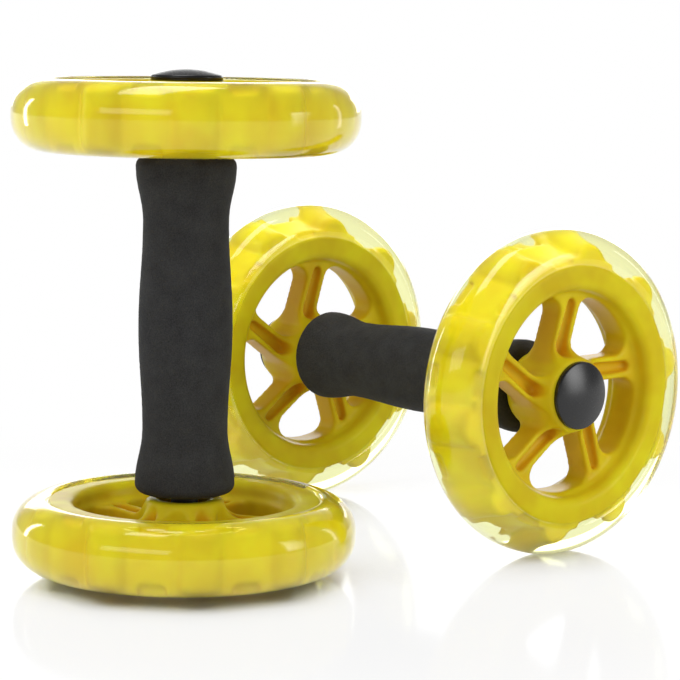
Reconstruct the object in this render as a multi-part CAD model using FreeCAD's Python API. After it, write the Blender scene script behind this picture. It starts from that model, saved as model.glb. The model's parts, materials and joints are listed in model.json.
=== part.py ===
import FreeCAD, Part
import math
import os

# A pair of hand rollers. Each has a short foam-covered handle with a clear-tyred wheel on both ends.
# One stands upright on a hub cap and the other lies on its two tyres beside it.
# Lengths are in millimetres and angles in degrees. Z is up, and the origin is on the ground
# under the standing roller's axle. The lying roller's axle runs along X.

# Wheel over its tyre
WHEEL_DIAMETER = 150.0
WHEEL_SPACING = 181.0
TYRE_WIDTH = 31.0
TREAD_CROWN_RADIUS = 32.0
TYRE_SHOULDER_RADIUS = 14.0
TYRE_DEPTH = 15.5
TYRE_SIDE_STEP = 1.0

# Moulded core: rim, and the bed and lugs that the tyre is cast around
RIM_WALL = 12.5
RIM_DRAFT = 1.0
RIM_LIP_ROUND = 4.5
RIM_EDGE_ROUND = 0.6
BED_HEIGHT = 3.0
BED_COVER = 2.5
BED_ROUND = 1.2
LUG_COUNT = 10
LUG_RADIUS = 10.0
LUG_HEIGHT = 5.5
LUG_COVER = 3.5
LUG_ROUND = 3.0
NOTCH_WIDTH = 12.0
NOTCH_LENGTH = 4.0
NOTCH_FLOOR = 0.5

# Moulded core: hub and spokes
HUB_LENGTH = 30.0
HUB_DIAMETER = 33.0
HUB_DRAFT = 3.5
HUB_EDGE_ROUND = 0.8
HUB_FLARE_ROUND = 8.0
SPOKE_COUNT = 5
SPOKE_WIDTH = 11.0
SPOKE_OFFSET = 9.0
SPOKE_DEPTH = 13.0
SPOKE_ROOT_ROUND = 3.5
WINDOW_HUB_WALL = 1.0
WINDOW_RIM_WALL = 1.5
WINDOW_HUB_ROUND = 4.5
WINDOW_RIM_ROUND = 6.5
WINDOW_HUB_ROUND_SHARE = 0.17
WINDOW_RIM_ROUND_SHARE = 0.24
POCKET_WEB = 5.0
POCKET_HUB_WIDTH = 6.0
POCKET_RIM_WIDTH = 4.6
POCKET_HUB_WALL = 0.6
POCKET_RIM_WALL = 3.5

# Ball bearings, two in each hub
BEARING_DIAMETER = 22.0
BEARING_BORE = 8.0
BEARING_WIDTH = 7.0
BEARING_GAP = 8.0
BALL_COUNT = 7
BALL_DIAMETER = 3.97
BALL_CLEARANCE = 0.15
RACE_DEPTH = 0.55
CAGE_THICKNESS = 1.6
CAGE_BACK = 0.5
CAGE_FRONT = 1.2
CAGE_CLEARANCE = 0.1
SHIELD_THICKNESS = 0.3
SHIELD_SEAT = 0.65
SHIELD_INSET = 0.6
SHIELD_CLEARANCE = 0.25
SEAT_SHOULDER = 1.5

# Hub cap, pressed into the outer end of the hub
CAP_DIAMETER = 31.0
CAP_EDGE = 2.2
CAP_HEIGHT = 5.0
CAP_FLAT_DIAMETER = 16.0
CAP_CROWN = 1.8
CAP_SKIRT_WALL = 1.3
CAP_SKIRT_LENGTH = 2.5
CAP_FIT = 0.05

# Axle bolt, washer and spacer
BOLT_LENGTH = 55.0
BOLT_FIT = 0.05
BOLT_HEAD_DIAMETER = 14.0
BOLT_HEAD_HEIGHT = 4.4
BOLT_HEAD_EDGE = 1.2
BOLT_SOCKET_FLATS = 5.0
BOLT_SOCKET_DEPTH = 2.4
WASHER_THICKNESS = 1.5
SPACER_WALL = 1.8

# Handle: tube, plugs, threaded inserts and foam grip
HANDLE_GAP = 2.5
TUBE_DIAMETER = 25.0
TUBE_WALL = 2.0
PLUG_FLANGE = 2.0
PLUG_LENGTH = 26.0
INSERT_FLATS = 13.0
INSERT_LENGTH = 14.0
GRIP_END_DIAMETER = 43.4
GRIP_NECK_DIAMETER = 37.0
GRIP_MIDDLE_DIAMETER = 40.7
GRIP_NECK_FROM_END = 28.0
GRIP_END_ROUND = 4.0

# The lying roller's place beside the standing one
ROW_GAP = 16.0
LYING_SHIFT = -30.0

# How far each wheel has turned on its axle
STANDING_UPPER_TURN = 29.9
STANDING_LOWER_TURN = 32.4
LYING_RIGHT_TURN = 18.5
LYING_LEFT_TURN = 18.5

# Cuts run past the faces that they open by the overrun, and points closer than the fine limit are one
OVERRUN = 1.0
FINE = 1e-6

FULL_TURN = 360.0
HALF_TURN = 180.0
QUARTER_TURN = 90.0
V = FreeCAD.Vector
Z_AXIS = V(0, 0, 1)

# Sizes that follow from the ones above, in a wheel's own frame.
# There Z is the axle, the wheel's middle plane is at zero, and the hub cap is on the positive side.
wheel_radius = WHEEL_DIAMETER / 2
tyre_half = TYRE_WIDTH / 2
rim_outer = wheel_radius - TYRE_DEPTH
rim_inner = rim_outer - RIM_WALL
rim_half = tyre_half - TYRE_SIDE_STEP
bed_radius = rim_outer + BED_HEIGHT
bed_half = tyre_half - BED_COVER
lug_half = tyre_half - LUG_COVER
hub_half = HUB_LENGTH / 2
hub_radius = HUB_DIAMETER / 2
spoke_half = SPOKE_DEPTH / 2
seat_radius = BEARING_DIAMETER / 2
seat_inner = BEARING_GAP / 2
bearing_outer_face = seat_inner + BEARING_WIDTH
bore_radius = BEARING_BORE / 2
ball_radius = BALL_DIAMETER / 2
pitch_radius = (seat_radius + bore_radius) / 2
inner_land = pitch_radius - ball_radius - BALL_CLEARANCE + RACE_DEPTH
outer_land = pitch_radius + ball_radius + BALL_CLEARANCE - RACE_DEPTH
cap_top = hub_half + CAP_HEIGHT
head_seat = bearing_outer_face + WASHER_THICKNESS
handle_end = hub_half + HANDLE_GAP
shank_radius = bore_radius - BOLT_FIT
tube_radius = TUBE_DIAMETER / 2
tube_bore = tube_radius - TUBE_WALL
plug_inner_end = handle_end + PLUG_FLANGE + PLUG_LENGTH


def rounded_wire(corners, place):
    """Closed wire through (u, v, radius) corners, with a tangent arc where the radius is above zero."""
    arcs = []
    for index, (u, v, radius) in enumerate(corners):
        here = V(u, v, 0)
        before = corners[index - 1]
        after = corners[(index + 1) % len(corners)]
        back = (V(before[0], before[1], 0) - here).normalize()
        ahead = (V(after[0], after[1], 0) - here).normalize()
        if radius == 0:
            arcs.append((here, here, here))
            continue
        half_angle = back.getAngle(ahead) / 2
        reach = radius / math.tan(half_angle)
        centre = here + (back + ahead).normalize() * (radius / math.sin(half_angle))
        middle = centre + (here - centre).normalize() * radius
        arcs.append((here + back * reach, middle, here + ahead * reach))
    edges = []
    for index, (start, middle, end) in enumerate(arcs):
        if start != end:
            edges.append(Part.Arc(place(start), place(middle), place(end)).toShape())
        following = arcs[(index + 1) % len(arcs)][0]
        edges.append(Part.makeLine(place(end), place(following)))
    return Part.Wire(edges)


def in_profile(point):
    """Puts an outline's (radius, height) point in the plane that is turned about the axle."""
    return V(point.x, 0, point.y)


def turned(corners):
    """Solid of revolution about Z from a (radius, height, rounding) outline."""
    return Part.Face(rounded_wire(corners, in_profile)).revolve(V(), Z_AXIS, FULL_TURN)


def ring(inner, outer, low, high):
    """Plain ring between two radii and two heights."""
    return turned([(inner, low, 0), (outer, low, 0), (outer, high, 0), (inner, high, 0)])


def disc(radius, low, high):
    """Plain cylinder on the axle."""
    return Part.makeCylinder(radius, high - low, V(0, 0, low))


def prism(wire, low, high):
    """Extrusion of a flat wire, drawn at height zero, from one height to another."""
    face = Part.Face(wire)
    face.translate(V(0, 0, low))
    return face.extrude(V(0, 0, high - low))


def hexagon(flats, low, high):
    """Hexagonal prism of the given width across its flats."""
    corner = flats / math.sqrt(3)
    points = []
    for index in range(6):
        angle = math.radians(FULL_TURN * index / 6)
        points.append(V(corner * math.cos(angle), corner * math.sin(angle), 0))
    return prism(Part.makePolygon(points + points[:1]), low, high)


def spread(shape, count, first=0.0):
    """Copies of a shape at even angles about the axle."""
    copies = []
    for index in range(count):
        copy = shape.copy()
        copy.rotate(V(), Z_AXIS, first + FULL_TURN * index / count)
        copies.append(copy)
    return copies


def mirrored(shape):
    """Copy of a shape on the other side of the wheel's middle plane."""
    return shape.mirror(V(), Z_AXIS)


def turned_point(point, angle):
    """Plan point turned about the axle by an angle in degrees."""
    return FreeCAD.Rotation(Z_AXIS, angle).multVec(point)


def along_side(radius, aside):
    """Where a line along X, at a given distance aside of the axle, reaches a radius."""
    return V(math.sqrt(radius ** 2 - aside ** 2), aside, 0)


def on_bisector(start, end, radius):
    """Point at a radius, halfway round from one plan point to another."""
    return (start.normalize() + end.normalize()).normalize() * radius


def window():
    """Opening between two spokes: arcs at the hub and the rim, straight sides and rounded corners.

    The rounding at each end is limited to a share of the window's depth.
    """
    window_hub = hub_radius + WINDOW_HUB_WALL
    window_rim = rim_inner - WINDOW_RIM_WALL
    depth = window_rim - window_hub
    hub_round = min(WINDOW_HUB_ROUND, WINDOW_HUB_ROUND_SHARE * depth)
    rim_round = min(WINDOW_RIM_ROUND, WINDOW_RIM_ROUND_SHARE * depth)
    pitch = FULL_TURN / SPOKE_COUNT
    first_side = SPOKE_OFFSET + SPOKE_WIDTH / 2
    second_side = SPOKE_OFFSET - SPOKE_WIDTH / 2
    first_hub = along_side(window_hub, first_side)
    first_rim = along_side(window_rim, first_side)
    second_hub = turned_point(along_side(window_hub, second_side), pitch)
    second_rim = turned_point(along_side(window_rim, second_side), pitch)
    rim_middle = on_bisector(V(first_rim), V(second_rim), window_rim)
    hub_middle = on_bisector(V(first_hub), V(second_hub), window_hub)
    edges = [
        Part.makeLine(first_hub, first_rim),
        Part.Arc(first_rim, rim_middle, second_rim).toShape(),
        Part.makeLine(second_rim, second_hub),
        Part.Arc(second_hub, hub_middle, first_hub).toShape(),
    ]
    opening = prism(Part.Wire(edges), -hub_half - OVERRUN, hub_half + OVERRUN)
    for radius, rounding in ((window_hub, hub_round), (window_rim, rim_round)):
        corners = []
        for edge in opening.Edges:
            start, end = edge.Vertexes[0].Point, edge.Vertexes[-1].Point
            upright = math.isclose(math.hypot(end.x - start.x, end.y - start.y), 0, abs_tol=FINE)
            if upright and math.isclose(math.hypot(start.x, start.y), radius, abs_tol=FINE):
                corners.append(edge)
        opening = opening.makeFillet(rounding, corners)
    return opening


def spoke_pocket():
    """Channel down the middle of a spoke that runs along X, wide at the hub and narrow at the rim."""
    hub_end = POCKET_HUB_WIDTH / 2
    rim_end = POCKET_RIM_WIDTH / 2
    hub_at = along_side(hub_radius + POCKET_HUB_WALL + hub_end, SPOKE_OFFSET)
    rim_at = along_side(rim_inner - POCKET_RIM_WALL - rim_end, SPOKE_OFFSET)
    lean = math.acos((hub_end - rim_end) / (rim_at.x - hub_at.x))
    across = V(math.cos(lean), math.sin(lean), 0)
    back = V(math.cos(lean), -math.sin(lean), 0)
    edges = [
        Part.Arc(hub_at + across * hub_end, hub_at - V(hub_end, 0, 0), hub_at + back * hub_end).toShape(),
        Part.makeLine(hub_at + back * hub_end, rim_at + back * rim_end),
        Part.Arc(rim_at + back * rim_end, rim_at + V(rim_end, 0, 0), rim_at + across * rim_end).toShape(),
        Part.makeLine(rim_at + across * rim_end, hub_at + across * hub_end),
    ]
    return prism(Part.Wire(edges), POCKET_WEB / 2, hub_half + OVERRUN)


def wheel_core():
    """Yellow moulding: hub with bearing seats, twin-rib spokes, rim, and the tyre's bed and lugs."""
    upper = [
        (0, hub_half, 0),
        (hub_radius, hub_half, HUB_EDGE_ROUND),
        (hub_radius + HUB_DRAFT, spoke_half, HUB_FLARE_ROUND),
        (rim_inner, spoke_half, SPOKE_ROOT_ROUND),
        (rim_inner + RIM_DRAFT, rim_half, RIM_LIP_ROUND),
        (rim_outer, rim_half, RIM_EDGE_ROUND),
        (rim_outer, bed_half, 0),
        (bed_radius, bed_half, BED_ROUND),
    ]
    lower = [(radius, -height, rounding) for radius, height, rounding in reversed(upper)]
    core = turned(upper + lower)

    core = core.cut(spread(window(), SPOKE_COUNT))
    pockets = spread(spoke_pocket(), SPOKE_COUNT)
    core = core.cut(pockets + [mirrored(pocket) for pocket in pockets])

    lug = disc(LUG_RADIUS, -lug_half, lug_half)
    lug = lug.makeFillet(LUG_ROUND, [edge for edge in lug.Edges if edge.Closed])
    lug.translate(V(bed_radius + LUG_HEIGHT - LUG_RADIUS, 0, 0))
    lug = lug.cut(disc(rim_outer, -tyre_half, tyre_half))
    first_lug = math.degrees(math.asin(SPOKE_OFFSET / rim_outer))
    core = core.fuse(spread(lug, LUG_COUNT, first_lug))

    notch_floor = rim_outer + NOTCH_FLOOR
    notch = Part.makeBox(BED_HEIGHT, NOTCH_WIDTH, NOTCH_LENGTH + OVERRUN,
                         V(notch_floor, -NOTCH_WIDTH / 2, bed_half - NOTCH_LENGTH))
    notches = spread(notch, LUG_COUNT, first_lug + HALF_TURN / LUG_COUNT)
    core = core.cut(notches + [mirrored(one) for one in notches])

    seat = disc(seat_radius, seat_inner, hub_half + OVERRUN)
    through = disc(seat_radius - SEAT_SHOULDER, -hub_half, hub_half)
    return core.cut([seat, mirrored(seat), through])


def tyre(core):
    """Clear urethane ring with a rounded tread, cast around the core's bed and lugs."""
    crown_centre = wheel_radius - TREAD_CROWN_RADIUS
    shoulder_height = tyre_half - TYRE_SHOULDER_RADIUS
    between = TREAD_CROWN_RADIUS - TYRE_SHOULDER_RADIUS
    shoulder_centre = crown_centre + math.sqrt(between ** 2 - shoulder_height ** 2)
    lean = math.atan2(shoulder_height, shoulder_centre - crown_centre)
    bend = (lean + math.radians(QUARTER_TURN)) / 2

    def on_crown(angle):
        return V(crown_centre + TREAD_CROWN_RADIUS * math.cos(angle), 0, TREAD_CROWN_RADIUS * math.sin(angle))

    def on_shoulder(angle):
        return V(shoulder_centre + TYRE_SHOULDER_RADIUS * math.cos(angle), 0,
                 shoulder_height + TYRE_SHOULDER_RADIUS * math.sin(angle))

    def below(point):
        return V(point.x, 0, -point.z)

    side = V(shoulder_centre, 0, tyre_half)
    top = V(0, 0, tyre_half)
    edges = [
        Part.makeLine(below(top), below(side)),
        Part.Arc(below(side), below(on_shoulder(bend)), below(on_crown(lean))).toShape(),
        Part.Arc(below(on_crown(lean)), on_crown(0), on_crown(lean)).toShape(),
        Part.Arc(on_crown(lean), on_shoulder(bend), side).toShape(),
        Part.makeLine(side, top),
        Part.makeLine(top, below(top)),
    ]
    blank = Part.Face(Part.Wire(edges)).revolve(V(), Z_AXIS, FULL_TURN)
    blank = blank.cut(disc(rim_outer, -tyre_half - OVERRUN, tyre_half + OVERRUN))
    return blank.cut(core)


def hub_cap():
    """Black domed cap with a flat crown, on a skirt that presses into the bearing seat's mouth."""
    radius = CAP_DIAMETER / 2
    flat = CAP_FLAT_DIAMETER / 2
    edge_top = hub_half + CAP_EDGE
    rise = cap_top - edge_top
    run = radius - flat
    dome_radius = (run ** 2 + rise ** 2) / (2 * rise)
    half_sweep = math.asin(run / dome_radius) / 2
    dome_middle = V(flat + dome_radius * math.sin(half_sweep), 0,
                    cap_top - dome_radius + dome_radius * math.cos(half_sweep))
    skirt_radius = seat_radius - CAP_FIT
    skirt_low = hub_half - CAP_SKIRT_LENGTH
    crown_under = cap_top - CAP_CROWN
    hollow = skirt_radius - CAP_SKIRT_WALL
    points = [
        V(flat, 0, cap_top),
        V(0, 0, cap_top),
        V(0, 0, crown_under),
        V(hollow, 0, crown_under),
        V(hollow, 0, skirt_low),
        V(skirt_radius, 0, skirt_low),
        V(skirt_radius, 0, hub_half),
        V(radius, 0, hub_half),
        V(radius, 0, edge_top),
    ]
    edges = [Part.makeLine(start, end) for start, end in zip(points, points[1:])]
    edges.append(Part.Arc(points[-1], dome_middle, points[0]).toShape())
    return Part.Face(Part.Wire(edges)).revolve(V(), Z_AXIS, FULL_TURN)


def bearing_places():
    """Heights of the middles of a hub's two bearings."""
    middle = seat_inner + BEARING_WIDTH / 2
    return [middle, -middle]


def in_both_bearings(solids):
    """One node with the given solids in both bearings of a hub."""
    copies = []
    for height in bearing_places():
        for solid in solids:
            copy = solid.copy()
            copy.translate(V(0, 0, height))
            copies.append(copy)
    return Part.makeCompound(copies)


def race_groove():
    """Ring-shaped space that the balls run in."""
    return Part.makeTorus(pitch_radius, ball_radius + BALL_CLEARANCE)


def bearing_outer_rings():
    """Outer rings, with a raceway and a seat for a shield on each side."""
    half = BEARING_WIDTH / 2
    shield_seat = outer_land + SHIELD_SEAT
    body = ring(outer_land, seat_radius, -half, half).cut(race_groove())
    recess = disc(shield_seat, half - SHIELD_INSET, half + OVERRUN)
    return in_both_bearings([body.cut([recess, mirrored(recess)])])


def bearing_inner_rings():
    """Inner rings, which stand still on the axle bolt."""
    half = BEARING_WIDTH / 2
    return in_both_bearings([ring(bore_radius, inner_land, -half, half).cut(race_groove())])


def bearing_balls():
    """Loose steel balls in both bearings."""
    ball = Part.makeSphere(ball_radius)
    ball.translate(V(pitch_radius, 0, 0))
    return in_both_bearings(spread(ball, BALL_COUNT))


def bearing_cages():
    """Snap-in cages: a ring with a pocket for each ball, open on one side."""
    pocket_radius = ball_radius + CAGE_CLEARANCE
    half_wall = CAGE_THICKNESS / 2
    body = ring(pitch_radius - half_wall, pitch_radius + half_wall, -CAGE_FRONT, pocket_radius + CAGE_BACK)
    pocket = Part.makeSphere(pocket_radius)
    pocket.translate(V(pitch_radius, 0, 0))
    return in_both_bearings([body.cut(spread(pocket, BALL_COUNT))])


def bearing_shields():
    """Thin plates that close both sides of each bearing and clear its inner ring."""
    low = BEARING_WIDTH / 2 - SHIELD_INSET
    plate = ring(inner_land + SHIELD_CLEARANCE, outer_land + SHIELD_SEAT, low, low + SHIELD_THICKNESS)
    return in_both_bearings([plate, mirrored(plate)])


def bearing_spacer():
    """Tube that holds the two inner rings apart."""
    return ring(bore_radius, bore_radius + SPACER_WALL, -seat_inner, seat_inner)


def axle_washer():
    """Washer between the outer bearing's inner ring and the bolt's head."""
    return ring(bore_radius, bore_radius + SPACER_WALL, bearing_outer_face, head_seat)


def axle_bolt():
    """Button-head bolt through the wheel, with a hexagon socket."""
    head_top = head_seat + BOLT_HEAD_HEIGHT
    head_radius = BOLT_HEAD_DIAMETER / 2
    bolt = turned([
        (0, head_seat - BOLT_LENGTH, 0),
        (shank_radius, head_seat - BOLT_LENGTH, 0),
        (shank_radius, head_seat, 0),
        (head_radius, head_seat, 0),
        (head_radius, head_top, BOLT_HEAD_HEIGHT - BOLT_HEAD_EDGE),
        (0, head_top, 0),
    ])
    return bolt.cut(hexagon(BOLT_SOCKET_FLATS, head_top - BOLT_SOCKET_DEPTH, head_top + OVERRUN))


def end_plug():
    """Plug in the tube's end, with a nose that carries the inner bearing and a pocket for the insert."""
    nose = disc(inner_land, -handle_end, -bearing_outer_face)
    flange = disc(tube_radius, -handle_end - PLUG_FLANGE, -handle_end)
    body = disc(tube_bore, -plug_inner_end, -handle_end - PLUG_FLANGE)
    hole = disc(bore_radius, -plug_inner_end - OVERRUN, -bearing_outer_face + OVERRUN)
    pocket = hexagon(INSERT_FLATS, -plug_inner_end - OVERRUN, -plug_inner_end + INSERT_LENGTH)
    return nose.fuse([flange, body]).removeSplitter().cut([hole, pocket])


def threaded_insert():
    """Hexagonal insert that the axle bolt screws into."""
    body = hexagon(INSERT_FLATS, -plug_inner_end, -plug_inner_end + INSERT_LENGTH)
    return body.cut(disc(bore_radius, -plug_inner_end - OVERRUN, -plug_inner_end + INSERT_LENGTH + OVERRUN))


def handle_tube():
    """Steel tube between the two plugs' flanges, in the roller's own frame."""
    half = WHEEL_SPACING / 2 - handle_end - PLUG_FLANGE
    return ring(tube_bore, tube_radius, -half, half)


def foam_grip():
    """Foam sleeve over the tube: flared ends, two necks and a swell in the middle."""
    half = WHEEL_SPACING / 2 - handle_end
    end_radius = GRIP_END_DIAMETER / 2
    flare = half - GRIP_END_ROUND
    neck = half - GRIP_NECK_FROM_END
    outline = Part.BSplineCurve()
    outline.interpolate(Points=[
        V(end_radius, 0, -flare),
        V(GRIP_NECK_DIAMETER / 2, 0, -neck),
        V(GRIP_MIDDLE_DIAMETER / 2, 0, 0),
        V(GRIP_NECK_DIAMETER / 2, 0, neck),
        V(end_radius, 0, flare),
    ], InitialTangent=V(0, 0, 1), FinalTangent=V(0, 0, 1))
    inset = GRIP_END_ROUND * (1 - math.sqrt(0.5))
    end_inner = end_radius - GRIP_END_ROUND
    edges = [
        outline.toShape(),
        Part.Arc(V(end_radius, 0, flare), V(end_radius - inset, 0, half - inset), V(end_inner, 0, half)).toShape(),
        Part.makeLine(V(end_inner, 0, half), V(tube_radius, 0, half)),
        Part.makeLine(V(tube_radius, 0, half), V(tube_radius, 0, -half)),
        Part.makeLine(V(tube_radius, 0, -half), V(end_inner, 0, -half)),
        Part.Arc(V(end_inner, 0, -half), V(end_radius - inset, 0, inset - half),
                 V(end_radius, 0, -flare)).toShape(),
    ]
    return Part.Face(Part.Wire(edges)).revolve(V(), Z_AXIS, FULL_TURN)


def roller_places():
    """Where each roller's middle is. Its axle is along its own Z."""
    standing = FreeCAD.Placement(V(0, 0, WHEEL_SPACING / 2 + cap_top), FreeCAD.Rotation())
    beside = V(LYING_SHIFT, wheel_radius + ROW_GAP + wheel_radius, wheel_radius)
    lying = FreeCAD.Placement(beside, FreeCAD.Rotation(V(0, 1, 0), QUARTER_TURN))
    return {"standing": standing, "lying": lying}


def wheel_place(outward, rotation):
    """Where a wheel's pieces sit on their roller, on the side that outward (1 or -1) gives."""
    return FreeCAD.Placement(V(0, 0, outward * WHEEL_SPACING / 2), rotation)


def export(shape, place, node):
    """Writes one node's solids at their place."""
    shape.transformed(place.toMatrix(), True).exportStep("parts/" + node + ".step")


os.makedirs("parts", exist_ok=True)

core_solid = wheel_core()
cast_pieces = {"wheel_core": core_solid, "tyre": tyre(core_solid)}
wheel_pieces = {
    "hub_cap": hub_cap(),
    "bearing_outer_rings": bearing_outer_rings(),
    "bearing_inner_rings": bearing_inner_rings(),
    "bearing_balls": bearing_balls(),
    "bearing_cages": bearing_cages(),
    "bearing_shields": bearing_shields(),
    "bearing_spacer": bearing_spacer(),
    "axle_washer": axle_washer(),
    "axle_bolt": axle_bolt(),
    "end_plug": end_plug(),
    "threaded_insert": threaded_insert(),
}
handle_pieces = {"handle_tube": handle_tube(), "foam_grip": foam_grip()}
wheels = [
    ("standing", "upper", 1, STANDING_UPPER_TURN),
    ("standing", "lower", -1, STANDING_LOWER_TURN),
    ("lying", "right", 1, LYING_RIGHT_TURN),
    ("lying", "left", -1, LYING_LEFT_TURN),
]
facing = {1: FreeCAD.Rotation(), -1: FreeCAD.Rotation(V(1, 0, 0), HALF_TURN)}

places = roller_places()
for roller, place in places.items():
    for piece, shape in handle_pieces.items():
        export(shape, place, roller + "_" + piece)
for roller, side, outward, turn in wheels:
    # The core and its tyre are alike on both faces, so a roller's two are fitted the same way round
    cast_place = places[roller].multiply(wheel_place(outward, FreeCAD.Rotation(Z_AXIS, turn)))
    for piece, shape in cast_pieces.items():
        export(shape, cast_place, roller + "_" + side + "_" + piece)
    fitted_place = places[roller].multiply(wheel_place(outward, facing[outward]))
    for piece, shape in wheel_pieces.items():
        export(shape, fitted_place, roller + "_" + side + "_" + piece)
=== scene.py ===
import json
import math

import bmesh
import bpy
from mathutils import Matrix, Vector, noise


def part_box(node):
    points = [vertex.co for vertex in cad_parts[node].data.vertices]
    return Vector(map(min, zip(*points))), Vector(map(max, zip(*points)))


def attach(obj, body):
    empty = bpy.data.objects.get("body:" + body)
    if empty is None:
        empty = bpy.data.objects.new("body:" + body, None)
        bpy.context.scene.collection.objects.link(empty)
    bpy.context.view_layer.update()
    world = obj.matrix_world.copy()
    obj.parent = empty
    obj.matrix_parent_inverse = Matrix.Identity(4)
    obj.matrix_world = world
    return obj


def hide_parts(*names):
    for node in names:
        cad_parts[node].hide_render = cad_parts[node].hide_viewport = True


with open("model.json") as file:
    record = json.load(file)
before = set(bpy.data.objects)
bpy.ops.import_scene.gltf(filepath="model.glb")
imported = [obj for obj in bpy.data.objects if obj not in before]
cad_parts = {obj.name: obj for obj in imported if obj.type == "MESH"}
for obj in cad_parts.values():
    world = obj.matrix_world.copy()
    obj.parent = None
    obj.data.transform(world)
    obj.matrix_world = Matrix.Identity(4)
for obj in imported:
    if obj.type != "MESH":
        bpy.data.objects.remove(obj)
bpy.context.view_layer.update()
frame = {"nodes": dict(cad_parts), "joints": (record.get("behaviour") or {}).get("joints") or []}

# Wheel cores
# Each wheel has one moulding in yellow plastic: a hub, five slanting spokes with a channel down both
# faces, and a rim whose lugs the tyre is cast around. Every edge leaves the mould softly rounded.
WHEELS = ("standing_upper", "standing_lower", "lying_right", "lying_left")
CORE_FACE_SIZE = 0.0009
CORE_JOIN_GAP = 0.000009
CORE_EDGE_PASSES = 12
CORE_YELLOW = (0.84, 0.74, 0.014, 1)
CORE_SHADE_YELLOW = (0.72, 0.53, 0.01, 1)
# Painted shade: the deep orange that the core's colour turns to in its pockets and corners
CORE_PAINTED_SHADE_YELLOW = (0.72, 0.36, 0.01, 1)
CORE_FLOW_CONTRAST = 2.6
CORE_FLOW_LOSS = 0.8
CORE_POCKET_REACH = 0.028
CORE_POCKET_DEEP = 0.3
CORE_POCKET_OPEN = 0.97
DAYLIGHT_SAMPLES = 8


class Wire:
    """A socket in a finish's nodes. Sums on it add Math nodes, and node() adds any other kind."""

    def __init__(self, tree, socket=None):
        self.tree = tree
        self.socket = socket

    def node(self, kind, settings, sockets, output=0):
        """Adds a node, with its settings first and then the values or links of its sockets."""
        added = self.tree.nodes.new(kind)
        for name, value in settings.items():
            setattr(added, name, value)
        for name, value in sockets.items():
            if isinstance(value, Wire):
                self.tree.links.new(value.socket, added.inputs[name])
            else:
                added.inputs[name].default_value = value
        return Wire(self.tree, added.outputs[output] if added.outputs else None)

    def math(self, operation, first, second):
        return self.node("ShaderNodeMath", {"operation": operation}, {0: first, 1: second})

    def __add__(self, other):
        return self.math("ADD", self, other)

    def __radd__(self, other):
        return self.math("ADD", other, self)

    def __sub__(self, other):
        return self.math("SUBTRACT", self, other)

    def __rsub__(self, other):
        return self.math("SUBTRACT", other, self)

    def __mul__(self, other):
        return self.math("MULTIPLY", self, other)

    def __rmul__(self, other):
        return self.math("MULTIPLY", other, self)


def finish_nodes(name):
    """A new material and the wire that its nodes grow from."""
    material = bpy.data.materials.new(name)
    material.use_nodes = True
    material.node_tree.nodes.clear()
    return material, Wire(material.node_tree)


def close_finish(wire, sockets):
    """Ends a finish with one surface shader that has the given sockets."""
    shader = wire.node("ShaderNodeBsdfPrincipled", {}, sockets)
    wire.node("ShaderNodeOutputMaterial", {}, {"Surface": shader})


def blotches(wire, scale, detail):
    """Soft noise from 0 to 1 that stays put on the piece."""
    place = wire.node("ShaderNodeTexCoord", {}, {}, "Object")
    return wire.node("ShaderNodeTexNoise", {}, {"Vector": place, "Scale": scale, "Detail": detail})


def mixed(wire, share, first, second):
    """A colour that goes from the first to the second as the share goes from 0 to 1."""
    # Inputs 6 and 7 and output 2 are the Mix node's sockets for colours
    return wire.node("ShaderNodeMix", {"data_type": "RGBA"}, {0: share, 6: first, 7: second}, 2)


def bumped(wire, height, strength, distance):
    """A surface normal from a height."""
    return wire.node("ShaderNodeBump", {}, {"Height": height, "Strength": strength, "Distance": distance})


def daylight(wire, reach, alone):
    """How open a place is, from 0 to 1, to what lies within reach: the piece alone, or everything."""
    settings = {"samples": DAYLIGHT_SAMPLES, "only_local": alone}
    return wire.node("ShaderNodeAmbientOcclusion", settings, {"Distance": reach}, "AO")


def ranged(wire, value, start, end, first, last, pace="SMOOTHSTEP"):
    """A value that goes from the first to the last as another goes from start to end."""
    return wire.node("ShaderNodeMapRange", {"interpolation_type": pace}, {
        "Value": value, "From Min": start, "From Max": end, "To Min": first, "To Max": last})


def yellow_plastic():
    """Satin moulded plastic, glowing a little, with painted orange shade in pockets and soft flow marks."""
    material, wire = finish_nodes("yellow_moulded_plastic")
    flow = blotches(wire, scale=45, detail=2) * CORE_FLOW_CONTRAST - CORE_FLOW_LOSS
    grain = blotches(wire, scale=900, detail=3)
    skin = mixed(wire, flow, CORE_YELLOW, CORE_SHADE_YELLOW)
    # Painted shade: the colour turns deeper orange where the piece closes in on itself, in pockets and
    # corners
    pockets = daylight(wire, CORE_POCKET_REACH, alone=True)
    openness = ranged(wire, pockets, CORE_POCKET_DEEP, CORE_POCKET_OPEN, 0.0, 1.0, "LINEAR")
    close_finish(wire, {
        "Base Color": mixed(wire, openness, CORE_PAINTED_SHADE_YELLOW, skin),
        "Roughness": 0.3 + 0.06 * grain,
        "Normal": bumped(wire, grain, strength=0.012, distance=0.0001),
        "Specular IOR Level": 0.1,
        "Subsurface Weight": 0.25,
        "Subsurface Radius": (0.004, 0.0022, 0.0004),
    })
    return material


def linked(name, mesh):
    """A new object at the origin that shows a mesh."""
    piece = bpy.data.objects.new(name, mesh)
    bpy.context.scene.collection.objects.link(piece)
    return piece


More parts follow.
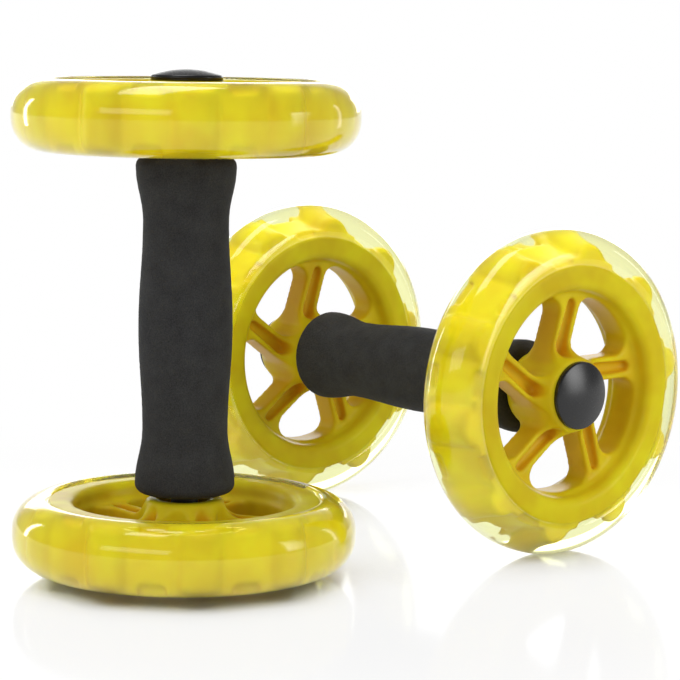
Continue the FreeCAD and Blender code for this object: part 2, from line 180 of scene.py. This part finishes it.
def softened(name, node):
    """Copy of a solid's mesh, merged and made again in small even faces with its edges rounded over."""
    piece = linked(name, node.data.copy())
    shape = bmesh.new()
    shape.from_mesh(piece.data)
    bmesh.ops.remove_doubles(shape, verts=shape.verts, dist=CORE_JOIN_GAP)
    shape.to_mesh(piece.data)
    shape.free()
    remake = piece.modifiers.new("even_faces", "REMESH")
    remake.mode = "VOXEL"
    remake.voxel_size = CORE_FACE_SIZE
    rounding = piece.modifiers.new("rounded_edges", "SMOOTH")
    rounding.iterations = CORE_EDGE_PASSES
    shown = piece.evaluated_get(bpy.context.evaluated_depsgraph_get())
    piece.data = bpy.data.meshes.new_from_object(shown)
    piece.modifiers.clear()
    return piece


def dressed(piece, material):
    """Gives a new piece its finish and smooth shading."""
    piece.data.materials.clear()
    piece.data.materials.append(material)
    piece.data.shade_smooth()
    return piece


core_finish = yellow_plastic()
for wheel in WHEELS:
    core = softened(wheel + "_moulded_core", frame["nodes"][wheel + "_wheel_core"])
    dressed(core, core_finish)
    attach(core, wheel + "_wheel")
    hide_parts(wheel + "_wheel_core")

# Tyres
# Each tyre is a ring of clear urethane, cast around the rim so that the lugs hold it. Its tread is
# gently crowned with full round shoulders, and its wall runs into the core with no air between them.
TREAD_CROWN = 0.032
TREAD_SHOULDER = 0.014
TYRE_DEPTH = 0.0155
TYRE_SIDE_STEP = 0.001
TYRE_LIP = 0.0012
TYRE_BURIAL = 0.0003
CROWN_STEPS = 10
SHOULDER_STEPS = 16
WHEEL_STEPS = 288
JOIN_GAP = 1e-7
MIRROR_GAP = 1e-6
TYRE_TINT = (0.93, 0.95, 0.5, 1)
TYRE_BEND = 1.26
Z_AXIS = Vector((0, 0, 1))
joints = {joint["name"]: joint for joint in frame["joints"]}


def wheel_place(wheel):
    """Matrix from a wheel's own frame, with its axle on Z and its cap on the upper side."""
    centre = Vector(joints[wheel + "_wheel_spin"]["pos_m"])
    low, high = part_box(wheel + "_hub_cap")
    outward = ((low + high) / 2 - centre).normalized()
    return Matrix.Translation(centre) @ Z_AXIS.rotation_difference(outward).to_matrix().to_4x4()


def half_extents(node, place):
    """Radius and half length of a round node, taken along the Z axis of its place."""
    low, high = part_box(node)
    size = place.inverted().to_3x3() @ ((high - low) / 2)
    return abs(size.x), abs(size.z)


def extended(shape, vert, radius, height):
    """Draws a profile on from its last point to a radius and a height."""
    added = bmesh.ops.extrude_vert_indiv(shape, verts=[vert])["verts"][0]
    added.co = (radius, 0, height)
    return added


def arced(shape, vert, radius, height, angle, steps):
    """Draws a profile on by an arc about a centre, rising for a positive angle."""
    bent = bmesh.ops.spin(shape, geom=[vert], cent=(radius, 0, height), axis=(0, -1, 0),
                          angle=angle, steps=steps)
    return next(part for part in bent["geom_last"] if isinstance(part, bmesh.types.BMVert))


def turned(shape, name, place, steps):
    """Turns a drawn profile about the axle into a closed piece, and sets it in its place."""
    bmesh.ops.spin(shape, geom=shape.verts[:] + shape.edges[:], cent=(0, 0, 0), axis=Z_AXIS,
                   angle=math.tau, steps=steps, use_merge=True)
    bmesh.ops.remove_doubles(shape, verts=shape.verts, dist=JOIN_GAP)
    bmesh.ops.recalc_face_normals(shape, faces=shape.faces)
    bmesh.ops.transform(shape, matrix=place, verts=shape.verts)
    mesh = bpy.data.meshes.new(name)
    shape.to_mesh(mesh)
    shape.free()
    return linked(name, mesh)


def clear_urethane():
    """Clear cast urethane with a faint yellow tint and a polished skin."""
    material, wire = finish_nodes("clear_urethane")
    close_finish(wire, {
        "Base Color": TYRE_TINT,
        "Roughness": 0.04 + 0.05 * blotches(wire, scale=60, detail=2),
        "IOR": TYRE_BEND,
        "Transmission Weight": 1.0,
        "Coat Weight": 0.75,
        "Coat Roughness": 0.12,
        "Coat IOR": 1.5,
    })
    return material


tyre_finish = clear_urethane()
for wheel in WHEELS:
    tread_radius, tyre_half = half_extents(wheel + "_tyre", wheel_place(wheel))
    lip_radius = tread_radius - TYRE_DEPTH - TYRE_LIP
    shoulder_height = tyre_half - TREAD_SHOULDER
    crown_centre = tread_radius - TREAD_CROWN
    shoulder_centre = crown_centre + math.sqrt((TREAD_CROWN - TREAD_SHOULDER) ** 2 - shoulder_height ** 2)
    lean = math.atan2(shoulder_height, shoulder_centre - crown_centre)
    profile = bmesh.new()
    point = profile.verts.new((tread_radius, 0, 0))
    point = arced(profile, point, crown_centre, 0, lean, CROWN_STEPS)
    point = arced(profile, point, shoulder_centre, shoulder_height, math.pi / 2 - lean, SHOULDER_STEPS)
    point = extended(profile, point, lip_radius, tyre_half - TYRE_SIDE_STEP - TYRE_BURIAL)
    extended(profile, point, lip_radius, 0)
    bmesh.ops.mirror(profile, geom=profile.verts[:] + profile.edges[:], axis="Z", merge_dist=MIRROR_GAP)
    tyre = dressed(turned(profile, wheel + "_clear_tyre", wheel_place(wheel), WHEEL_STEPS), tyre_finish)
    tyre.visible_shadow = False
    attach(tyre, wheel + "_wheel")
    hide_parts(wheel + "_tyre")

# Hub caps
# A black satin cap closes the outer end of each hub. It is moulded as a shallow dome with a rounded
# edge, and the skirt under it is pressed into the mouth of the bearing's seat.
CAP_HEIGHT = 0.005
CAP_EDGE = 0.0022
CAP_EDGE_ROUND = 0.0007
CAP_EDGE_STEPS = 5
CAP_WALL = 0.0018
CAP_SKIRT_RADIUS = 0.01095
CAP_SKIRT_WALL = 0.0013
CAP_SKIRT_LENGTH = 0.0025
CAP_STEPS = 128
DOME_STEPS = 24
CAP_BLACK = (0.004, 0.004, 0.0045, 1)
CAP_WORN_BLACK = (0.009, 0.009, 0.0095, 1)


def satin_black():
    """Black moulded plastic with a fine spark-eroded grain."""
    material, wire = finish_nodes("satin_black_plastic")
    grain = blotches(wire, scale=2600, detail=2)
    handling = blotches(wire, scale=130, detail=4)
    close_finish(wire, {
        "Base Color": mixed(wire, handling, CAP_BLACK, CAP_WORN_BLACK),
        "Roughness": 0.22 + 0.08 * grain,
        "Normal": bumped(wire, grain, strength=0.06, distance=0.0001),
    })
    return material


cap_finish = satin_black()
for wheel in WHEELS:
    cap_radius = half_extents(wheel + "_hub_cap", wheel_place(wheel))[0]
    low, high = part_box(wheel + "_hub_cap")
    inside = wheel_place(wheel).inverted()
    cap_top = max((inside @ low).z, (inside @ high).z)
    hub_face = cap_top - CAP_HEIGHT
    rise = CAP_HEIGHT - CAP_EDGE
    dome_radius = (cap_radius ** 2 + rise ** 2) / (2 * rise)
    dome_angle = math.asin(cap_radius / dome_radius)
    hollow = CAP_SKIRT_RADIUS - CAP_SKIRT_WALL
    profile = bmesh.new()
    point = profile.verts.new((0, 0, cap_top))
    point = arced(profile, point, 0, cap_top - dome_radius, -dome_angle, DOME_STEPS)
    shoulder = point
    point = extended(profile, point, cap_radius, hub_face)
    point = extended(profile, point, CAP_SKIRT_RADIUS, hub_face)
    point = extended(profile, point, CAP_SKIRT_RADIUS, hub_face - CAP_SKIRT_LENGTH)
    point = extended(profile, point, hollow, hub_face - CAP_SKIRT_LENGTH)
    point = extended(profile, point, hollow, cap_top - CAP_WALL)
    extended(profile, point, 0, cap_top - CAP_WALL)
    bmesh.ops.bevel(profile, geom=[shoulder], offset=CAP_EDGE_ROUND, affect="VERTICES",
                    segments=CAP_EDGE_STEPS, profile=0.5, material=-1)
    cap = dressed(turned(profile, wheel + "_domed_cap", wheel_place(wheel), CAP_STEPS), cap_finish)
    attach(cap, wheel + "_wheel")
    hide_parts(wheel + "_hub_cap")

# Bearings and axle bolts
# Two ball bearings in each hub run on a button-head bolt, with a spacer between their inner rings and a
# washer under the head. Rings and balls are ground steel, shields pressed sheet and cages moulded nylon.
STEEL_GREY = (0.56, 0.56, 0.55, 1)
STEEL_DULL_GREY = (0.44, 0.44, 0.43, 1)
ZINC_GREY = (0.64, 0.63, 0.6, 1)
ZINC_DULL_GREY = (0.5, 0.5, 0.48, 1)
ALLOY_GREY = (0.74, 0.74, 0.75, 1)
ALLOY_DULL_GREY = (0.62, 0.62, 0.63, 1)
NYLON_WHITE = (0.76, 0.75, 0.69, 1)
NYLON_SHADE_WHITE = (0.68, 0.66, 0.6, 1)
MARKS_PER_PATCH = 8


def metal(name, bright, dull, roughness, grain_scale):
    """Bare metal with patches that are duller, and fine tool marks."""
    material, wire = finish_nodes(name)
    patches = blotches(wire, scale=grain_scale / MARKS_PER_PATCH, detail=3)
    marks = blotches(wire, scale=grain_scale, detail=2)
    close_finish(wire, {
        "Base Color": mixed(wire, patches, bright, dull),
        "Metallic": 1.0,
        "Roughness": roughness + 0.15 * patches,
        "Normal": bumped(wire, marks, strength=0.08, distance=0.0001),
    })
    return material


def plain_plastic(name, colour, shade, roughness):
    """Moulded plastic with a slight grain."""
    material, wire = finish_nodes(name)
    grain = blotches(wire, scale=1800, detail=2)
    clouds = blotches(wire, scale=160, detail=3)
    close_finish(wire, {
        "Base Color": mixed(wire, clouds, colour, shade),
        "Roughness": roughness + 0.1 * grain,
        "Normal": bumped(wire, grain, strength=0.1, distance=0.0001),
    })
    return material


ground_steel = metal("ground_steel", STEEL_GREY, STEEL_DULL_GREY, roughness=0.16, grain_scale=1500)
ball_steel = metal("ball_steel", ALLOY_GREY, STEEL_GREY, roughness=0.05, grain_scale=3000)
sheet_steel = metal("sheet_steel", STEEL_GREY, STEEL_DULL_GREY, roughness=0.28, grain_scale=1200)
zinc_plate = metal("zinc_plate", ZINC_GREY, ZINC_DULL_GREY, roughness=0.26, grain_scale=900)
turned_alloy = metal("turned_alloy", ALLOY_GREY, ALLOY_DULL_GREY, roughness=0.3, grain_scale=1400)
nylon = plain_plastic("nylon", NYLON_WHITE, NYLON_SHADE_WHITE, roughness=0.42)
axle_finishes = {
    "bearing_outer_rings": ground_steel,
    "bearing_inner_rings": ground_steel,
    "bearing_balls": ball_steel,
    "bearing_cages": nylon,
    "bearing_shields": sheet_steel,
    "bearing_spacer": turned_alloy,
    "axle_washer": sheet_steel,
    "axle_bolt": zinc_plate,
}
for wheel in WHEELS:
    for piece, finish in axle_finishes.items():
        frame["nodes"][wheel + "_" + piece].material_slots[0].material = finish

# Handle tubes and plugs
# A drawn steel tube joins each roller's two wheels. A black plug in each end carries a brass hexagonal
# insert, which the axle bolt screws into.
ROLLERS = ("standing", "lying")
PLUG_BLACK = (0.022, 0.022, 0.022, 1)
PLUG_SHADE_BLACK = (0.03, 0.03, 0.03, 1)
BRASS_YELLOW = (0.7, 0.5, 0.19, 1)
BRASS_DULL_YELLOW = (0.55, 0.38, 0.14, 1)

tube_steel = metal("drawn_tube_steel", STEEL_GREY, STEEL_DULL_GREY, roughness=0.3, grain_scale=700)
plug_plastic = plain_plastic("plug_plastic", PLUG_BLACK, PLUG_SHADE_BLACK, roughness=0.45)
insert_brass = metal("insert_brass", BRASS_YELLOW, BRASS_DULL_YELLOW, roughness=0.22, grain_scale=1000)
for roller in ROLLERS:
    frame["nodes"][roller + "_handle_tube"].material_slots[0].material = tube_steel
for wheel in WHEELS:
    frame["nodes"][wheel + "_end_plug"].material_slots[0].material = plug_plastic
    frame["nodes"][wheel + "_threaded_insert"].material_slots[0].material = insert_brass

# Foam grips
# Each handle wears a sleeve of charcoal foam rubber, ground to swell at both ends and in the middle and
# pushed over the tube. Its skin is dull, with fine cells that catch the light.
GRIP_NECK_RADIUS = 0.0185
GRIP_MIDDLE_RADIUS = 0.02035
GRIP_NECK_FROM_END = 0.028
GRIP_END_ROUND = 0.004
GRIP_CURVE_REACH = 0.4
GRIP_RINGS = 60
GRIP_STEPS = 240
END_STEPS = 8
FOAM_RELIEF = 0.00008
FOAM_CELL_SIZE = 0.0016
FOAM_CHARCOAL = (0.009, 0.009, 0.0093, 1)
FOAM_GREY = (0.1, 0.1, 0.103, 1)
FOAM_SPECK_SHARE = 0.75
FOAM_PATCH_SHARE = 0.35
FOAM_GREY_LOSS = 0.1


def foam_rubber():
    """Closed-cell foam: dull charcoal with pale specks, and pinholes over the whole skin."""
    material, wire = finish_nodes("foam_rubber")
    place = wire.node("ShaderNodeTexCoord", {}, {}, "Object")
    cells = wire.node("ShaderNodeTexVoronoi", {}, {"Vector": place, "Scale": 1500.0}, "Distance")
    specks = blotches(wire, scale=1900, detail=3)
    patches = blotches(wire, scale=120, detail=4)
    share = specks * FOAM_SPECK_SHARE + patches * FOAM_PATCH_SHARE - FOAM_GREY_LOSS
    close_finish(wire, {
        "Base Color": mixed(wire, share, FOAM_CHARCOAL, FOAM_GREY),
        "Roughness": 0.55 + 0.2 * specks,
        "Normal": bumped(wire, cells + specks, strength=0.5, distance=0.0003),
        "Specular IOR Level": 0.05,
    })
    return material


def grip_outline(half_length, end_radius):
    """Mesh line of the sleeve's side, from one end's flare to the other's."""
    flare = half_length - GRIP_END_ROUND
    neck = half_length - GRIP_NECK_FROM_END
    stations = ((end_radius, -flare), (GRIP_NECK_RADIUS, -neck), (GRIP_MIDDLE_RADIUS, 0),
                (GRIP_NECK_RADIUS, neck), (end_radius, flare))
    curve = bpy.data.curves.new("grip_outline", "CURVE")
    curve.dimensions = "3D"
    curve.resolution_u = GRIP_RINGS
    side = curve.splines.new("BEZIER")
    side.bezier_points.add(len(stations) - 1)
    gaps = [after[1] - before[1] for before, after in zip(stations, stations[1:])]
    for index, (radius, height) in enumerate(stations):
        point = side.bezier_points[index]
        point.handle_left_type = point.handle_right_type = "FREE"
        point.co = (radius, 0, height)
        point.handle_left = (radius, 0, height - GRIP_CURVE_REACH * gaps[max(index - 1, 0)])
        point.handle_right = (radius, 0, height + GRIP_CURVE_REACH * gaps[min(index, len(gaps) - 1)])
    holder = bpy.data.objects.new("grip_outline", curve)
    line = bpy.data.meshes.new_from_object(holder)
    bpy.data.objects.remove(holder)
    return line


def roller_place(roller):
    """Matrix from a roller's own frame, with its handle along Z and its middle at the origin."""
    ends = [wheel_place(wheel).translation for wheel in WHEELS if wheel.startswith(roller)]
    along = (ends[0] - ends[1]).normalized()
    middle = Matrix.Translation((ends[0] + ends[1]) / 2)
    return middle @ Z_AXIS.rotation_difference(along).to_matrix().to_4x4()


foam_finish = foam_rubber()
for roller in ROLLERS:
    end_radius, half_length = half_extents(roller + "_foam_grip", roller_place(roller))
    bore = half_extents(roller + "_handle_tube", roller_place(roller))[0]
    profile = bmesh.new()
    profile.from_mesh(grip_outline(half_length, end_radius))
    ends = sorted(profile.verts, key=lambda vert: vert.co.z)
    for end, side in ((ends[0], -1), (ends[-1], 1)):
        centre_radius = end_radius - GRIP_END_ROUND
        centre_height = side * (half_length - GRIP_END_ROUND)
        point = arced(profile, end, centre_radius, centre_height, side * math.pi / 2, END_STEPS)
        extended(profile, point, bore, side * half_length)
    grip = turned(profile, roller + "_foam_sleeve", roller_place(roller), GRIP_STEPS)
    grip_shape = bmesh.new()
    grip_shape.from_mesh(grip.data)
    for vert in grip_shape.verts:
        vert.co += vert.normal * FOAM_RELIEF * noise.noise(vert.co / FOAM_CELL_SIZE)
    grip_shape.to_mesh(grip.data)
    grip_shape.free()
    dressed(grip, foam_finish)
    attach(grip, roller + "_handle")
    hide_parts(roller + "_foam_grip")

# Camera
# A long lens looks at the pair from the front right, from a little above the upper wheel. It stands a
# little over a metre away, and is rolled by less than a degree.
CAMERA_PLACE = (0.87016, -0.65126, 0.23846)
CAMERA_AIM = (-0.75652, 0.64252, -0.1221)
CAMERA_ROLL = 0.013
CAMERA_LENS = 133.68
CAMERA_SENSOR = 36

scene = bpy.context.scene
scene.view_settings.view_transform = "Standard"
camera_data = bpy.data.cameras.new("camera")
camera_data.sensor_width = CAMERA_SENSOR
camera_data.lens = CAMERA_LENS
camera = bpy.data.objects.new("camera", camera_data)
scene.collection.objects.link(camera)
aim = Vector(CAMERA_AIM).to_track_quat("-Z", "Y").to_matrix().to_4x4()
camera.matrix_world = Matrix.Translation(CAMERA_PLACE) @ aim @ Matrix.Rotation(CAMERA_ROLL, 4, "Z")
scene.camera = camera

# Floor and room
# A plain white floor runs out into a white room, which lights most from the camera's side and is dim in
# mirrors. Rays that show the floor see white where it lies open, and near the rollers their real shadow and
# reflection, over painted shade and a painted contact shadow in the floor's colour.
FLOOR_HALF = 12
FLOOR_WHITE = (0.92, 0.92, 0.92, 1)
# Painted shade and a painted contact shadow: the greys that the floor's colour turns to close to the
# rollers
FLOOR_PAINTED_SHADE = (0.6, 0.6, 0.6, 1)
FLOOR_PAINTED_CONTACT_SHADOW = (0.3, 0.3, 0.3, 1)
FLOOR_LIFT = 0.88
CONTACT_REACH = 0.014
SHADOW_REACH = 0.07
LIFT_FROM = 0.3
LIFT_FULL = 0.9
WHITE_FROM = 0.18
WHITE_OVER = 0.2
ROOM_NEAR = 0.65
ROOM_FAR = 0.08
ROOM_TURN = 0.8
ROOM_MIRRORED = 0.3
BACKDROP_FROM = 0.8
BACKDROP_FULL = 0.98
WHITE = (1, 1, 1, 1)
PAIR_MIDDLE = (-0.015, 0.083, 0)
BRIGHT_SIDE_RIGHT = -0.3
BRIGHT_SIDE_AHEAD = -0.95
ahead = Vector((CAMERA_AIM[0], CAMERA_AIM[1], 0)).normalized()
rightwards = ahead.cross(Z_AXIS)
nearwards = (BRIGHT_SIDE_AHEAD * ahead + BRIGHT_SIDE_RIGHT * rightwards).normalized()


def light_path(wire, kind):
    """1 for the rays of one kind, and 0 for all others."""
    return wire.node("ShaderNodeLightPath", {}, {}, kind)


def shows_background(wire):
    """1 for the rays that show what is behind the rollers, straight or through glass, else 0."""
    return wire.math("MAXIMUM", light_path(wire, "Is Camera Ray"), light_path(wire, "Is Transmission Ray"))


def pointing(wire, direction, axis):
    """How far a direction points along an axis, from -1 to 1."""
    return wire.node("ShaderNodeVectorMath", {"operation": "DOT_PRODUCT"}, {0: direction, 1: axis}, "Value")


floor_shape = bmesh.new()
bmesh.ops.create_grid(floor_shape, x_segments=1, y_segments=1, size=FLOOR_HALF)
floor_mesh = bpy.data.meshes.new("floor")
floor_shape.to_mesh(floor_mesh)
floor_shape.free()
floor = linked("floor", floor_mesh)
floor_finish, wire = finish_nodes("white_floor")
# The floor's colour holds painted shade near the rollers, and a painted contact shadow right under them
clearance = daylight(wire, CONTACT_REACH, alone=False)
openness = daylight(wire, SHADOW_REACH, alone=False)
painted_shade_floor = mixed(wire, openness, FLOOR_PAINTED_SHADE, FLOOR_WHITE)
lit = wire.node("ShaderNodeBsdfPrincipled", {}, {
    "Base Color": mixed(wire, clearance, FLOOR_PAINTED_CONTACT_SHADOW, painted_shade_floor),
    "Roughness": 0.08 + 0.04 * blotches(wire, scale=3, detail=2),
    "Specular IOR Level": 0.8,
})
lifted = wire.node("ShaderNodeEmission", {}, {"Color": WHITE, "Strength": 1.0})
spot = wire.node("ShaderNodeTexCoord", {}, {}, "Object")
away = wire.node("ShaderNodeVectorMath", {"operation": "DISTANCE"}, {0: spot, 1: PAIR_MIDDLE}, "Value")
near_lift = clearance * ranged(wire, openness, LIFT_FROM, LIFT_FULL, 0.0, FLOOR_LIFT)
far_lift = ranged(wire, away, WHITE_FROM, WHITE_FROM + WHITE_OVER, 0.0, 1.0)
lift = near_lift + (1 - near_lift) * far_lift
floor_seen = wire.math("MAXIMUM", shows_background(wire), light_path(wire, "Is Glossy Ray"))
floor_shown = wire.node("ShaderNodeMixShader", {}, {0: floor_seen * lift, 1: lit, 2: lifted})
wire.node("ShaderNodeOutputMaterial", {}, {"Surface": floor_shown})
floor.data.materials.append(floor_finish)

room = bpy.data.worlds.new("white_room")
room.use_nodes = True
room.node_tree.nodes.clear()
wire = Wire(room.node_tree)
direction = wire.node("ShaderNodeTexCoord", {}, {}, "Generated")
mirrored = light_path(wire, "Is Glossy Ray")
to_backdrop = pointing(wire, direction, ahead)
to_near_side = pointing(wire, direction, nearwards)
in_mirrors = ranged(wire, to_backdrop, BACKDROP_FROM, BACKDROP_FULL, ROOM_MIRRORED, 1.0)
as_light = ranged(wire, to_near_side, -ROOM_TURN, ROOM_TURN, ROOM_FAR, ROOM_NEAR)
room_seen = shows_background(wire)
unseen = as_light + mirrored * (in_mirrors - as_light)
strength = room_seen + (1 - room_seen) * unseen
glow = wire.node("ShaderNodeBackground", {}, {"Color": WHITE, "Strength": strength})
wire.node("ShaderNodeOutputWorld", {}, {"Surface": glow})
scene.world = room

# Soft boxes
# A wide key stands at the camera's left, one box hangs over the pair and one stands low behind it. Narrow
# strips edge the wheels from both sides, and a small gridded fill stands close to the near lying wheel.
PAIR_HEIGHT = 0.11
pair_centre = Vector(PAIR_MIDDLE) + Z_AXIS * PAIR_HEIGHT
near_wheel = wheel_place("lying_right").translation

# What each box faces, its way from there (right, ahead, up), distance, size, spread in degrees and watts
SOFT_BOXES = {
    "key_box": (pair_centre, (-0.5, -0.85, 0.35), 1.3, (1.0, 0.3), 180, 1.7),
    "top_box": (pair_centre, (-0.2, 0.1, 1.0), 1.1, (0.8, 0.35), 180, 3.5),
    "back_box": (pair_centre, (0.0, 1.0, 0.22), 1.3, (1.4, 0.35), 180, 3.6),
    "left_strip": (pair_centre, (-0.88, 0.47, 0.05), 1.2, (0.08, 0.9), 180, 2.2),
    "right_strip": (pair_centre, (0.88, 0.47, 0.05), 1.2, (0.08, 0.9), 180, 0.5),
    "fill_box": (near_wheel, (0.9, -0.35, 0.25), 0.42, (0.2, 0.26), 50, 0.075),
}
for name, (centre, (right, forward, up), distance, size, spread, power) in SOFT_BOXES.items():
    towards = (rightwards * right + ahead * forward + Z_AXIS * up).normalized()
    lamp = bpy.data.lights.new(name, "AREA")
    lamp.shape = "RECTANGLE"
    lamp.size, lamp.size_y = size
    lamp.energy = power
    lamp.spread = math.radians(spread)
    holder = bpy.data.objects.new(name, lamp)
    scene.collection.objects.link(holder)
    facing = (-towards).to_track_quat("-Z", "Y").to_matrix().to_4x4()
    holder.matrix_world = Matrix.Translation(centre + towards * distance) @ facing
